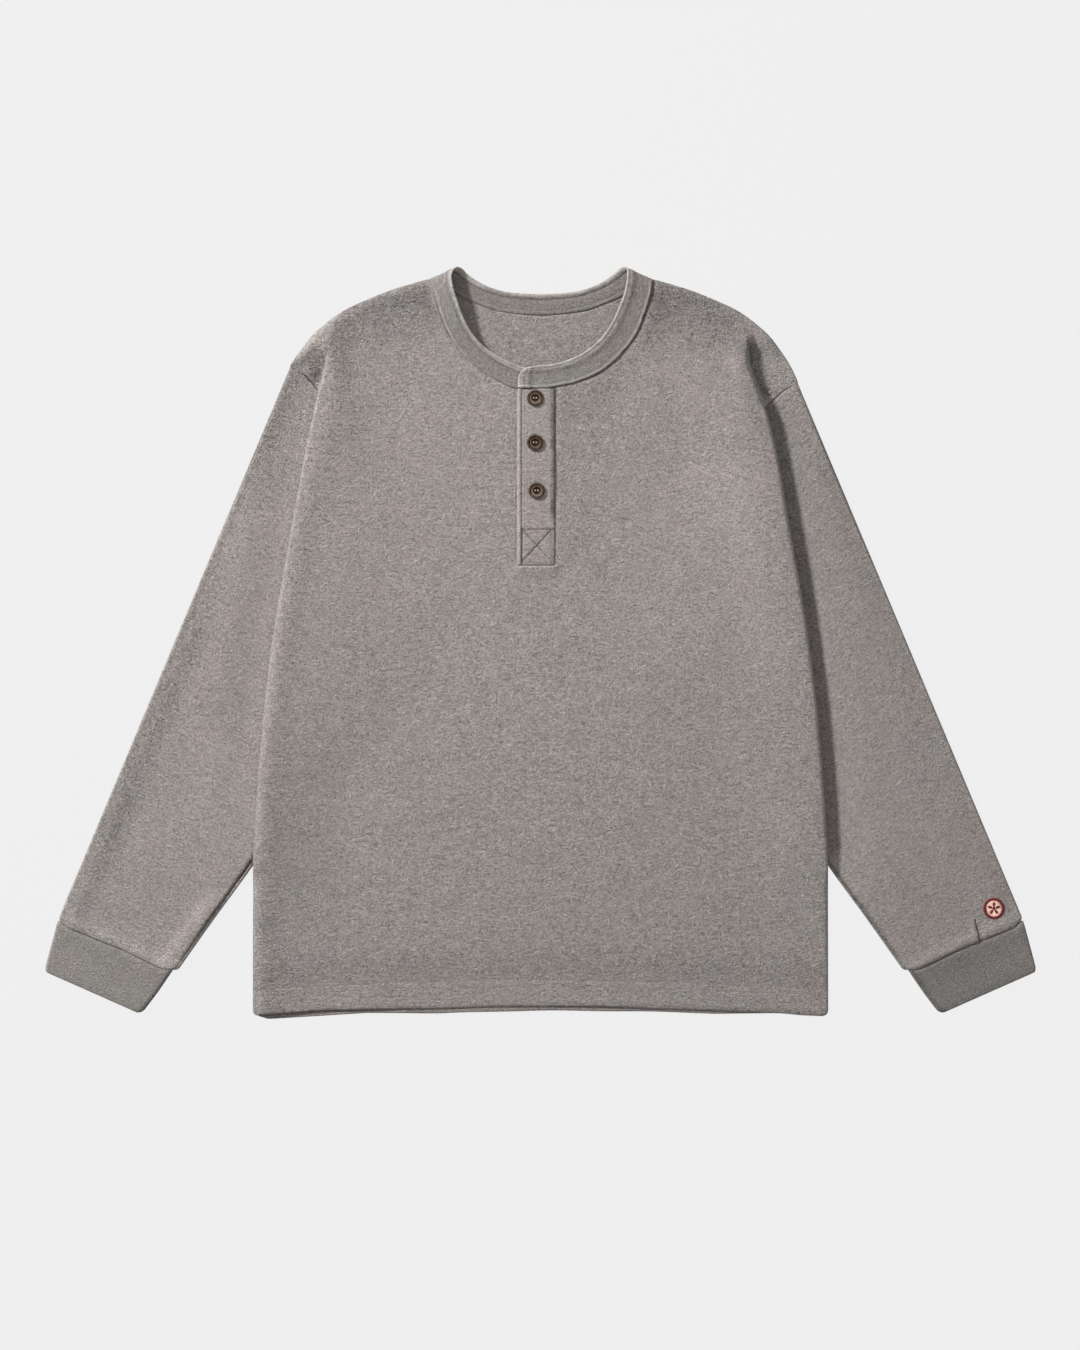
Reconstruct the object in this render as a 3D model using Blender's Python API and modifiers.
"""Long-sleeved henley shirt laid flat on its back, arms down, sleeves tucked under the sides.

X runs across the shirt, Y towards the neck, Z up from the table. Tables are in millimetres.
A side's tables give distances out from the middle line, so one row serves -X or +X.
"""

import bpy
import numpy as np

# Cloth
MM = 0.001
CLOTH = 1.4  # wall of the panels and sleeves
DOUBLED = 2.2  # wall of the neckband and cuffs, two layers sewn together
GAP = 0.4  # clearance between layers
SEAM = 0.8  # clearance where two cut edges meet along a curve
FLOOR = CLOTH / 2  # middle of a cloth that lies on the table
OVER_SLEEVE = 4.6  # how much higher the cloth lies where a sleeve is under it

# Body
HEM_HALF = 281.8  # half the width of the body at the hem
HEM_SIDE = -364.2  # front hem at the side seams
HEM_RISE = 8.8  # how much higher the front hem is in the middle
BACK_HEM_DROP = 4.2  # the back hem shows this far below the front hem
UNDERARM = 51.9  # height of the point where side seam and armhole meet

# Placket
SLIT_LEFT, SLIT_RIGHT = -22.0, 12.6
SLIT_BOTTOM = 79.4
STRIP_TOP = 248.4
STRIP_BOTTOM = 76.4
BUTTON_AT = ((-5.4, 239.6), (-5.4, 196.0), (-3.9, 149.0))
BUTTON_ACROSS = 16.0
BUTTON_THICK = 3.0

# The side of the front panel, from the shoulder to the hem: fold_y and fold_x are where the
# cloth turns down, edge_y, edge_x and edge_z are the middle of its cut edge. The edge follows
# the shoulder, then the armhole seam, which goes in under the body, then the side seam.
LEFT_SIDE = (
    # fold_y, fold_x, edge_y, edge_x, edge_z
    (325.8, 191.6, 314.6, 208.2, 2.5),
    (311.6, 198.4, 300.9, 223.6, 2.5),
    (296.9, 203.6, 287.1, 234.4, 2.5),
    (285.2, 207.4, 277.3, 241.2, 2.7),
    (273.4, 211.0, 270.0, 245.4, 3.0),
    (264.6, 213.2, 263.6, 233.7, 3.4),
    (254.8, 215.3, 254.8, 224.9, 3.7),
    (246.0, 217.5, 246.0, 216.1, 5.0),
    (236.2, 219.6, 236.2, 206.3, 5.3),
    (218.5, 223.3, 218.5, 191.6, 5.3),
    (189.1, 229.4, 189.1, 174.0, 5.3),
    (159.7, 235.0, 159.7, 163.4, 5.3),
    (120.5, 242.0, 120.5, 153.4, 5.3),
    (81.3, 249.1, 81.3, 146.2, 5.3),
    (51.9, 254.2, 51.9, 142.6, 5.3),
    (22.5, 259.2, 22.5, 172.0, 5.3),
    (-6.9, 263.4, -6.9, 199.4, 5.3),
    (-55.9, 269.4, -55.9, 232.8, 5.3),
    (-104.9, 274.0, -104.9, 254.8, 5.3),
    (-153.9, 277.6, -153.9, 267.1, 5.3),
    (-222.5, 281.2, -222.5, 274.0, 5.3),
    (-364.2, HEM_HALF, -364.2, 276.6, FLOOR),
)
RIGHT_SIDE = (
    (325.8, 187.0, 314.6, 208.2, 2.5),
    (311.6, 192.5, 300.9, 223.6, 2.5),
    (296.9, 197.5, 287.1, 234.4, 2.5),
    (283.0, 201.0, 275.0, 242.6, 2.6),
    (269.0, 204.6, 263.0, 248.9, 2.8),
    (256.5, 209.0, 253.8, 252.2, 3.0),
    (248.0, 212.4, 248.0, 240.5, 3.4),
    (238.1, 216.2, 238.1, 229.0, 3.7),
    (228.5, 219.8, 228.5, 217.8, 5.0),
    (216.0, 223.6, 216.0, 203.4, 5.3),
    (189.1, 230.0, 189.1, 180.4, 5.3),
    (159.7, 235.6, 159.7, 166.0, 5.3),
) + LEFT_SIDE[12:]
SIDES = {-1: LEFT_SIDE, 1: RIGHT_SIDE}
ARMHOLE_ROWS = {-1: (4, 15), 1: (5, 15)}  # rows whose edge is the armhole seam

# Height of the front panel's fold above the table, down the side.
FOLD_HEIGHT = (
    # y, z
    (330.0, 4.0),
    (311.0, 6.2),
    (296.0, 7.8),
    (273.0, 9.6),
    (246.0, 10.8),
    (215.0, 11.5),
    (100.0, 11.8),
    (-60.0, 11.8),
    (-150.0, 11.2),
    (-205.0, 10.2),
    (-245.0, 8.2),
    (-300.0, 6.6),
    (-345.0, 5.2),
    (-365.0, 4.5),
)

# The shoulder line, from the start of the side table up to the neckband.
SHOULDER = (
    # x, y
    (252.2, 253.8),
    (245.4, 270.0),
    (241.2, 277.3),
    (234.4, 287.1),
    (223.6, 300.9),
    (208.2, 314.6),
    (191.6, 325.8),
    (169.0, 336.1),
    (143.6, 345.9),
    (124.0, 351.8),
    (110.0, 355.9),
)

# The sleeve's two edges, from the armhole to the cuff.
SLEEVE_OUTER_END = (472.8, -271.6)
SLEEVE_INNER = (
    # x, y
    (142.6, 51.9),
    (160.2, 2.9),
    (186.7, -52.9),
    (219.5, -114.7),
    (249.0, -168.6),
    (281.8, -218.5),
    (320.9, -272.4),
    (355.5, -321.2),
)
CUFF_OUTER = ((472.7, -272.2), (479.4, -296.5), (485.6, -320.6))
CUFF_INNER = ((359.8, -320.2), (377.0, -342.5), (392.6, -362.8))
SLEEVE_EDGE = 3.9  # middle of the upper layer at the sleeve's rolled edges
SLEEVE_CROWN = 5.0  # middle of the upper layer where the sleeve lies free
UNDER_BODY = 3.5  # and where the body lies on it
CUFF_TOP = 4.1

# The neckband, from its end under the placket round the left shoulder, behind the neck, over
# the right shoulder and back to the front: free edge and sewn edge, as x, y and middle height.
NECKBAND = (
    # free_x, free_y, free_z, sewn_x, sewn_y, sewn_z
    (2.5, 269.5, 3.6, 0.5, 248.9, 3.6),
    (-14.2, 268.8, 3.7, -21.1, 249.4, 3.6),
    (-34.8, 276.4, 4.3, -42.6, 257.2, 3.8),
    (-52.4, 287.1, 5.5, -64.2, 271.5, 4.2),
    (-66.2, 300.9, 7.5, -80.8, 288.1, 4.6),
    (-76.0, 318.5, 9.8, -92.6, 306.7, 5.2),
    (-81.8, 334.9, 11.8, -101.4, 326.3, 5.8),
    (-86.0, 347.9, 12.6, -105.8, 339.8, 6.0),
    (-87.4, 358.2, 12.0, -107.8, 349.4, 5.6),
    (-85.6, 364.6, 10.0, -108.3, 354.2, 4.8),
    (-81.6, 367.3, 7.0, -106.8, 355.9, 3.4),
    (-77.4, 365.8, 3.8, -102.4, 354.4, 2.0),
    (-72.6, 361.1, 1.9, -94.6, 349.4, 1.2),
    (-63.2, 354.3, 1.2, -80.8, 340.6, 1.1),
    (-47.5, 346.9, 1.1, -61.2, 332.2, 1.1),
    (-29.9, 342.7, 1.1, -37.7, 324.9, 1.1),
    (0.0, 340.9, 1.1, 0.0, 321.6, 1.1),
    (29.9, 342.7, 1.1, 37.7, 324.9, 1.1),
    (47.5, 346.9, 1.1, 61.2, 332.2, 1.1),
    (63.2, 354.3, 1.2, 80.8, 340.6, 1.1),
    (72.4, 361.0, 1.7, 94.6, 349.4, 1.2),
    (77.6, 365.6, 3.2, 102.4, 354.4, 2.0),
    (82.6, 367.3, 5.6, 107.0, 355.9, 3.4),
    (85.4, 364.1, 7.8, 108.8, 354.0, 4.8),
    (85.3, 356.7, 8.9, 108.6, 348.4, 5.6),
    (83.6, 345.9, 9.0, 106.6, 338.6, 5.8),
    (79.2, 332.2, 8.6, 102.4, 325.0, 5.8),
    (70.8, 313.6, 8.2, 94.3, 303.8, 5.6),
    (58.3, 296.0, 7.8, 79.6, 284.0, 5.6),
    (40.7, 282.2, 7.4, 56.4, 264.4, 5.8),
    (15.2, 272.4, 7.0, 24.0, 252.7, 6.1),
    (-3.4, 270.3, 6.7, -1.5, 249.3, 6.3),
    (-13.7, 268.7, 6.6, -20.6, 249.6, 6.4),
)
FRONT_LEFT_NECK = (9.35, 1.0)  # neckband rows that the front panel's neck edge follows
FRONT_RIGHT_NECK = (30.6, 22.65)
BACK_NECK = (11.45, 20.55)


def through(along, values, at):
    """Points on a smooth curve through the rows, without overshoot."""
    along = np.asarray(along, float)
    values = np.asarray(values, float)
    order = np.argsort(along)
    along = along[order]
    values = values[order]
    step = np.diff(along)
    slope = np.diff(values) / step
    tangent = np.zeros_like(values)
    tangent[0] = slope[0]
    tangent[-1] = slope[-1]
    rising = slope[:-1] * slope[1:] > 0
    before = (2 * step[1:] + step[:-1])[rising]
    after = (step[1:] + 2 * step[:-1])[rising]
    mean = (before + after) / (before / slope[:-1][rising] + after / slope[1:][rising])
    tangent[1:-1][rising] = mean
    at = np.clip(np.asarray(at, float), along[0], along[-1])
    row = np.clip(np.searchsorted(along, at, side="right") - 1, 0, len(step) - 1)
    t = (at - along[row]) / step[row]
    width = step[row]
    start = (1 + 2 * t) * (1 - t) ** 2 * values[row] + t * (1 - t) ** 2 * width * tangent[row]
    end = t * t * (3 - 2 * t) * values[row + 1] + t * t * (t - 1) * width * tangent[row + 1]
    return start + end


def column(table, number):
    return np.array([row[number] for row in table], float)


def soft_step(t):
    t = np.clip(t, 0.0, 1.0)
    return t * t * (3 - 2 * t)


def quarter_round(t):
    """Rises like a rolled edge: steep at 0, level at 1."""
    t = np.clip(t, 0.0, 1.0)
    return np.sqrt(1 - (1 - t) ** 2)


def spaced(points, count):
    """The same path through smooth curves, at evenly spaced points."""
    points = np.asarray(points, float)
    length = np.r_[0, np.cumsum(np.linalg.norm(np.diff(points, axis=0), axis=1))]
    at = np.linspace(0, length[-1], count)
    return np.stack([through(length, points[:, k], at) for k in range(points.shape[1])], 1)


def along_path(path, distance):
    """Points at distances along a polyline."""
    length = np.r_[0, np.cumsum(np.linalg.norm(np.diff(path, axis=0), axis=1))]
    return np.stack([np.interp(distance, length, path[:, k]) for k in range(path.shape[1])], -1)


def neckband_at(row):
    """Free and sewn edge of the neckband at fractional rows of its table."""
    rows = np.arange(len(NECKBAND))
    values = [through(rows, column(NECKBAND, k), row) for k in range(6)]
    return np.stack(values[:3], -1), np.stack(values[3:], -1)


def beside_neckband(first, last, count, clearance):
    """A panel's neck edge: the neckband's sewn edge, moved out by the clearance."""
    free, sewn = neckband_at(np.linspace(first, last, count))
    out = sewn[:, :2] - free[:, :2]
    out /= np.linalg.norm(out, axis=1)[:, None]
    return np.column_stack([sewn[:, :2] + clearance * out, sewn[:, 2]])


def hem(x, drop=0.0):
    """Height of the front hem along the body: a flat arch, highest in the middle."""
    return HEM_SIDE - drop + HEM_RISE * (1 - (np.abs(x) / HEM_HALF) ** 1.7)


def sleeve_inner(y):
    """How far out the sleeve's inner edge lies at this height."""
    return np.interp(-np.asarray(y, float), -column(SLEEVE_INNER, 1), column(SLEEVE_INNER, 0))


def back_height(x, y):
    """Middle of the back panel: on the table, and stepped up over each sleeve."""
    out = np.abs(x)
    out = out + 9 * soft_step((out - fold_at(-1, y) + 24) / 14)
    on_sleeve = soft_step((out - sleeve_inner(y) + 13) / 10)
    below_underarm = soft_step((UNDERARM + 15 - y) / 13)
    return FLOOR + OVER_SLEEVE * on_sleeve * below_underarm


def fold_at(side, y):
    table = SIDES[side]
    return through(column(table, 0), column(table, 1), y)


NECK_LEFT = beside_neckband(FRONT_LEFT_NECK[0], FRONT_LEFT_NECK[1], 40, 0)
NECK_RIGHT = beside_neckband(FRONT_RIGHT_NECK[0], FRONT_RIGHT_NECK[1], 40, 0)
NECK_EDGE = np.vstack([NECK_LEFT, NECK_RIGHT])


def front_height(x, y):
    """Middle of the front panel's upper face: low in the middle, full towards the sides."""
    x = np.asarray(x, float)
    y = np.asarray(y, float)
    fold = np.where(x < 0, fold_at(-1, y), fold_at(1, y))
    rest = 2.8 + 1.3 * soft_step((y + 362) / 60)
    rest = rest + 1.6 * soft_step((y - 170) / 110) * soft_step((np.abs(x) - 60) / 60)
    side = through(column(FOLD_HEIGHT, 0), column(FOLD_HEIGHT, 1), y)
    reach = 95 + 105 * soft_step((190 - np.abs(y - 30)) / 190)
    full = soft_step((np.abs(x) - fold + reach) / reach)
    height = rest + (side - rest) * full
    lowest = back_height(x, y) + CLOTH + GAP + 0.3
    height = lowest + np.logaddexp(0, (height - lowest) * 2.5) / 2.5
    away = np.min(np.hypot(x[..., None] - NECK_EDGE[:, 0], y[..., None] - NECK_EDGE[:, 1]), -1)
    near = np.exp(-(np.hypot(x[..., None] - NECK_EDGE[:, 0], y[..., None] - NECK_EDGE[:, 1]) / 9))
    neck = (near * NECK_EDGE[:, 2]).sum(-1) / (near.sum(-1) + 1e-30)
    height = height + (neck - height) * (1 - soft_step(away / 45))
    line = through(column(SHOULDER, 0), column(SHOULDER, 1), np.abs(x))
    line = np.where(np.abs(x) < 110, 356.6, line)
    inside = np.maximum(line - y, 0) * 0.9
    outline = FLOOR + CLOTH + GAP
    return outline + (height - outline) * quarter_round(inside / 13)


def sheet(name, points, material, thickness, keep=None):
    """Cloth of an even wall on a grid of points."""
    down, across = points.shape[:2]
    faces = []
    for j in range(down - 1):
        for i in range(across - 1):
            if keep is None or keep[j, i]:
                corner = j * across + i
                faces.append((corner, corner + across, corner + across + 1, corner + 1))
    return cloth(name, points.reshape(-1, 3), faces, material, thickness)


def tube(name, rings, material, thickness):
    """Cloth of an even wall on closed rings, open at both ends."""
    count, around = rings.shape[:2]
    faces = []
    for j in range(count - 1):
        for i in range(around):
            after = (i + 1) % around
            row, below = j * around, (j + 1) * around
            faces.append((row + i, below + i, below + after, row + after))
    return cloth(name, rings.reshape(-1, 3), faces, material, thickness)


def cloth(name, points, faces, material, thickness):
    used = sorted({corner for face in faces for corner in face})
    place = {old: new for new, old in enumerate(used)}
    mesh = bpy.data.meshes.new(name)
    mesh.from_pydata(
        [tuple(points[old] * MM) for old in used],
        [],
        [tuple(place[corner] for corner in face) for face in faces],
    )
    mesh.shade_smooth()
    piece = add(name, mesh, material)
    wall = piece.modifiers.new("wall", "SOLIDIFY")
    wall.thickness = thickness * MM
    wall.offset = 0.0
    wall.use_quality_normals = True
    return piece


def add(name, mesh, material):
    mesh.materials.append(material)
    piece = bpy.data.objects.new(name, mesh)
    SHIRT.objects.link(piece)
    return piece


def finish(name, colour, roughness, metallic=0.0):
    material = bpy.data.materials.new(name)
    material.use_nodes = True
    shader = material.node_tree.nodes["Principled BSDF"]
    shader.inputs["Base Color"].default_value = (*colour, 1.0)
    shader.inputs["Roughness"].default_value = roughness
    shader.inputs["Metallic"].default_value = metallic
    return material


def rolled_edge(start, edge, radius, arc_steps, tail_steps):
    """Section from a level start, round a roll, and straight on to the cut edge."""
    out = edge[0] - start[0]
    drop = start[1] - edge[1] - radius
    reach = max(out * out + drop * drop, radius * radius)
    tail = np.sqrt(reach - radius * radius)
    turn = np.arctan2(drop, out) + np.arctan2(radius, tail)
    angle = np.linspace(0, turn, arc_steps + 1)[1:]
    arc = np.column_stack([radius * np.sin(angle), -radius * (1 - np.cos(angle))])
    arc = arc + start
    last = arc[-1]
    straight = last + (np.array(edge) - last) * np.linspace(0, 1, tail_steps + 1)[1:, None]
    return np.vstack([arc, straight])


def side_row(side, fold_y):
    """One row of a side table at any height."""
    table = SIDES[side]
    height = column(table, 0)
    return [float(through(height, column(table, k), fold_y)) for k in range(1, 5)]


def front_side(side, fold_y):
    """The front panel outside its level part, at one height: start x, then x, y, z outwards."""
    fold_x, edge_y, edge_x, edge_z = side_row(side, fold_y)
    if fold_y < UNDERARM:
        edge_z = float(back_height(edge_x, fold_y))
    flat_y = fold_y
    radius = 0.9
    for _ in range(4):
        start_x = fold_x - CLOTH / 2 - radius
        top = float(front_height(side * start_x, flat_y))
        radius = float(np.clip((top - edge_z) / 2, 0.5, 3.4))
    on_shoulder = edge_y < fold_y - 1
    inset = 0.7 if on_shoulder else 1.0 * soft_step((edge_z - 2.9) / 0.4)
    inset *= 1 - soft_step((edge_z - 4.2) / 0.8)
    section = rolled_edge((start_x, top), (edge_x - inset, edge_z), radius, 4, 2)
    share = (section[:, 0] - start_x) / (edge_x - inset - start_x) if on_shoulder else None
    y = flat_y + (edge_y - flat_y) * share if on_shoulder else np.full(len(section), flat_y)
    return start_x, np.column_stack([side * section[:, 0], y, section[:, 1]])


def build_front(material):
    """Front panel: its level part between the folds, and both sides rolled under."""
    start_y = LEFT_SIDE[0][0]
    rows = np.r_[0, 0.0012, 0.004, 0.009, 0.018, 0.032, 0.047, 0.062, 0.076, 0.088, 0.1004]
    rows = np.r_[rows, 0.109, 0.117, 0.128, 0.142, 0.165, 0.195, 0.235]
    rows = np.r_[rows, np.linspace(0.2817, 0.86, 11)]
    rows = np.r_[rows, 0.895, 0.93, 0.96, 0.985, 1.0]
    shoulder = spaced([(-x, y) for x, y in SHOULDER[6:]], 7)[:-1]
    left = beside_neckband(FRONT_LEFT_NECK[0], FRONT_LEFT_NECK[1], 12, SEAM + 0.3)[:, :2]
    right = beside_neckband(FRONT_RIGHT_NECK[0], FRONT_RIGHT_NECK[1], 12, SEAM + 0.3)[:, :2]
    left[-1] = (SLIT_LEFT, STRIP_TOP)
    right[0] = (SLIT_RIGHT, STRIP_TOP)
    slit = np.linspace(SLIT_LEFT, SLIT_RIGHT, 4)[1:-1]
    slit = np.column_stack([slit, np.full(2, STRIP_TOP)])
    top = np.vstack([shoulder, left, slit, right, shoulder[::-1] * (-1, 1)])
    low = np.r_[np.linspace(-1, -0.57, 7)[:-1] * HEM_HALF, np.linspace(-160, SLIT_LEFT, 12)]
    low = np.r_[low, slit[:, 0], np.linspace(SLIT_RIGHT, 160, 12), -low[5::-1]]
    grid = []
    for s in rows:
        fold_y = start_y + (HEM_SIDE - start_y) * s
        left_x, left_part = front_side(-1, fold_y)
        right_x, right_part = front_side(1, fold_y)
        limit = np.where(low < 0, left_x, right_x)
        beyond = np.clip((np.abs(low) - 40) / (HEM_HALF - 40), 0, 1)
        even = low + np.sign(low) * beyond * (limit - HEM_HALF)
        x = top[:, 0] + (even - top[:, 0]) * min(1, s / 0.34) ** 0.8
        x[0], x[-1] = -left_x, right_x
        y = top[:, 1] + (hem(low) - top[:, 1]) * s
        y[0] = y[-1] = fold_y
        z = front_height(x, y)
        grid.append(np.vstack([left_part[::-1], np.column_stack([x, y, z]), right_part]))
    grid = np.array(grid)
    keep = np.ones((len(rows) - 1, grid.shape[1] - 1), bool)
    first = 6 + 6 + 11
    keep[: int(np.argmin(np.abs(rows - 0.2817))), first : first + 3] = False
    return sheet("front", grid, material, CLOTH, keep)


def back_edge(side, fold_y):
    """Distances out to the back panel's cut edge and to its step over the sleeve."""
    fold_x, edge_y, edge_x, edge_z = side_row(side, fold_y)
    edge = edge_x - SEAM
    step = min(float(sleeve_inner(fold_y)), edge - 1) if fold_y < UNDERARM else edge - 1
    return np.array([edge, (edge + step - 2) / 2, step - 2, step - 8, step - 14]), edge_y


def build_back(material):
    """Back panel: flat on the table, over the sleeves' inner edges, under the front."""
    start_y = LEFT_SIDE[0][0]
    rows = np.r_[0, 0.03, 0.06, 0.0795, 0.1004, np.linspace(0.12, 0.38, 13)]
    rows = np.r_[rows, 0.391, 0.402, 0.411, 0.425, 0.45, 0.5, 0.56, 0.62, 0.68]
    rows = np.r_[rows, 0.73, 0.76, 0.785, 0.81, 0.84, 0.9, 1.0]
    shoulder = spaced([(-x, y) for x, y in SHOULDER[5:]] + [(-111.5, 353.2)], 6)[:-1]
    neck = beside_neckband(BACK_NECK[0], BACK_NECK[1], 15, SEAM)[:, :2]
    top = np.vstack([shoulder, neck, shoulder[::-1] * (-1, 1)])
    low = np.r_[np.linspace(-0.62, 0.62, 15) * HEM_HALF]
    grid = []
    for s in rows:
        fold_y = start_y + (HEM_SIDE - start_y) * s
        left, left_y = back_edge(-1, fold_y)
        right, right_y = back_edge(1, fold_y)
        inner = low * np.where(low < 0, left[-1], right[-1]) / HEM_HALF / 0.95
        even = np.r_[-left, inner, right[::-1]]
        x = top[:, 0] + (even - top[:, 0]) * min(1, s / 0.09) ** 0.8
        across = np.clip(even, -HEM_HALF, HEM_HALF)
        y = top[:, 1] + (hem(across, BACK_HEM_DROP) - top[:, 1]) * s
        x[0], x[-1] = -left[0], right[0]
        level = soft_step(s / 0.09)
        y[:5] += (left_y - BACK_HEM_DROP * s - y[:5]) * np.r_[1, [level] * 4]
        y[-5:] += (right_y - BACK_HEM_DROP * s - y[-5:]) * np.r_[[level] * 4, 1]
        grid.append(np.column_stack([x, y, back_height(x, y)]))
    return sheet("back", np.array(grid), material, CLOTH)


def flat_ring(path, low, edge, top, bottom_steps, top_steps, arc_steps):
    """Closed section of a flattened tube that stands on a plan path between its two folds.

    low is the middle of the lower layer, edge that of the upper layer at the folds, and top
    gives the upper layer's height at plan points and distances from the nearer fold.
    """
    length = np.linalg.norm(np.diff(path, axis=0), axis=1).sum()
    radius = (edge - low) / 2
    inset = low + radius
    under = np.linspace(length - inset, inset, bottom_steps)
    angle = np.linspace(0, np.pi, arc_steps + 2)[1:-1]
    arc = inset - radius * np.sin(angle)
    over = np.linspace(inset, length - inset, top_steps)
    distance = np.r_[under, arc, over, length - arc[::-1]]
    plan = along_path(path, distance)
    crown = top(along_path(path, over), np.minimum(over, length - over) - inset)
    arc_z = low + radius - radius * np.cos(angle)
    height = np.r_[np.full(bottom_steps, low), arc_z, crown, arc_z[::-1]]
    return np.column_stack([plan, height])


def sleeve_top(side):
    def height(points, from_fold):
        x, y = np.abs(points[:, 0]), points[:, 1]
        fold = np.where(y > 246, 300, through(LEFT_Y, LEFT_X, y))
        free = soft_step((x - fold - 4) / 26) * soft_step((235 - y) / 60)
        crown = UNDER_BODY + (SLEEVE_CROWN - UNDER_BODY) * free
        rolled = soft_step(from_fold / 26)
        low_end = np.minimum(crown, SLEEVE_EDGE)
        return low_end + (crown - low_end) * rolled

    return height


LEFT_Y = column(LEFT_SIDE, 0)
LEFT_X = column(LEFT_SIDE, 1)


def armhole(side, clearance):
    """Plan path of the armhole seam from the shoulder to the underarm."""
    first, last = ARMHOLE_ROWS[side]
    rows = SIDES[side][first:last]
    path = spaced([(row[3], row[2]) for row in rows], 60)
    tangent = np.gradient(path, axis=0)
    tangent /= np.linalg.norm(tangent, axis=1)[:, None]
    outward = np.column_stack([-tangent[:, 1], tangent[:, 0]])
    return path + clearance * outward


def build_sleeve(name, side, material):
    """Sleeve: a flattened tube from the curved armhole seam to the straight cuff seam."""
    seam = armhole(side, GAP)
    outer = np.array([seam[0], SLEEVE_OUTER_END])
    inner = spaced([seam[-1]] + list(SLEEVE_INNER[1:]), 80)
    count = 17
    rings = []
    for s in np.linspace(0, 1, count) ** 1.15:
        start = outer[0] + (outer[1] - outer[0]) * s
        end = along_path(inner, np.array([s * 0.9999]) * path_length(inner))[0]
        chord = start + (end - start) * np.linspace(0, 1, 60)[:, None]
        bow = seam - (seam[0] + (seam[-1] - seam[0]) * np.linspace(0, 1, 60)[:, None])
        path = chord + bow * (1 - soft_step(s / 0.42))
        edge = UNDER_BODY - 0.5 + (SLEEVE_EDGE - UNDER_BODY + 0.5) * soft_step((s - 0.1) / 0.3)
        ring = flat_ring(path, FLOOR, edge, sleeve_top(side), 10, 11, 3)
        rings.append(ring * (side, 1, 1))
    return tube(name, np.array(rings), material, CLOTH)


def path_length(path):
    return np.linalg.norm(np.diff(path, axis=0), axis=1).sum()


def build_cuff(name, side, material):
    """Cuff: a doubled tube, narrower towards the hand."""
    outer = spaced(CUFF_OUTER, 5)
    inner = spaced(CUFF_INNER, 5)
    low = DOUBLED / 2
    rings = []
    for start, end in zip(outer, inner):
        path = np.array([start, end])
        ring = flat_ring(path, low, CUFF_TOP, lambda p, d: np.full(len(p), CUFF_TOP), 8, 8, 3)
        rings.append(ring * (side, 1, 1))
    return tube(name, np.array(rings), material, DOUBLED)


def build_neckband(material):
    """Neckband: a flattened ring that rolls over at both shoulders."""
    count = 79
    free, sewn = neckband_at(np.linspace(0, len(NECKBAND) - 1, count))
    across = np.linspace(0, 1, 4)[None, :, None]
    return sheet("neckband", sewn[:, None] + (free - sewn)[:, None] * across, material, DOUBLED)


def build_strip(name, left, right, bottom, top, lift, material):
    """One strip of the placket, made from the front panel's heights."""
    x = np.linspace(left, right, 4)
    y = np.linspace(top, bottom, 14)
    x, y = np.meshgrid(x, y)
    z = front_height(x, y) + lift
    return sheet(name, np.stack([x, y, z], -1), material, CLOTH)


def build_button(name, x, y, material):
    """Shirt button with a raised rim round a dished middle."""
    half = BUTTON_ACROSS / 2
    round_it = np.linspace(0, 2 * np.pi, 16)
    under = front_height(x + half * np.cos(round_it), y + half * np.sin(round_it)).max()
    low = float(under) + 1.5 * CLOTH + 2 * GAP
    profile = (
        # from the middle out, radius and height above the placket
        (0.0, 1.7),
        (3.4, 1.7),
        (4.6, 2.1),
        (5.4, BUTTON_THICK),
        (half - 1.0, BUTTON_THICK),
        (half, BUTTON_THICK - 0.9),
        (half, 0.9),
        (half - 1.4, 0.0),
        (0.0, 0.0),
    )
    mesh = bpy.data.meshes.new(name)
    points = [(r * MM, 0.0, (low + h) * MM) for r, h in profile]
    mesh.from_pydata(points, [(k, k + 1) for k in range(len(points) - 1)], [])
    piece = add(name, mesh, material)
    piece.location = (x * MM, y * MM, 0.0)
    turned = piece.modifiers.new("turned", "SCREW")
    turned.steps = turned.render_steps = 22
    turned.use_merge_vertices = True
    turned.merge_threshold = 0.00001
    turned.use_normal_calculate = True
    turned.use_smooth_shade = True
    return piece


for leftover in list(bpy.data.objects):
    bpy.data.objects.remove(leftover, do_unlink=True)

SHIRT = bpy.data.collections.new("henley_shirt")
bpy.context.scene.collection.children.link(SHIRT)

heather = (0.30, 0.26, 0.245)
build_front(finish("front_jersey", heather, 0.92))
build_back(finish("back_jersey", (0.28, 0.245, 0.23), 0.92))
build_sleeve("sleeve_left", -1, finish("sleeve_left_jersey", heather, 0.92))
build_sleeve("sleeve_right", 1, finish("sleeve_right_jersey", heather, 0.92))
build_cuff("cuff_left", -1, finish("cuff_left_knit", (0.24, 0.22, 0.205), 0.9))
build_cuff("cuff_right", 1, finish("cuff_right_knit", (0.24, 0.22, 0.205), 0.9))
build_neckband(finish("neckband_knit", (0.24, 0.22, 0.205), 0.9))
build_strip(
    "placket_under",
    SLIT_LEFT + GAP,
    SLIT_RIGHT - GAP,
    SLIT_BOTTOM + GAP,
    STRIP_TOP - GAP,
    0.0,
    finish("placket_under_jersey", heather, 0.92),
)
build_strip(
    "placket_top",
    SLIT_LEFT - 0.8,
    SLIT_RIGHT + 1.0,
    STRIP_BOTTOM,
    STRIP_TOP - GAP,
    CLOTH + GAP,
    finish("placket_top_jersey", (0.32, 0.28, 0.265), 0.92),
)
for number, (button_x, button_y) in enumerate(BUTTON_AT, 1):
    brass = finish(f"button_{number}_horn", (0.12, 0.085, 0.055), 0.4)
    build_button(f"button_{number}", button_x, button_y, brass)
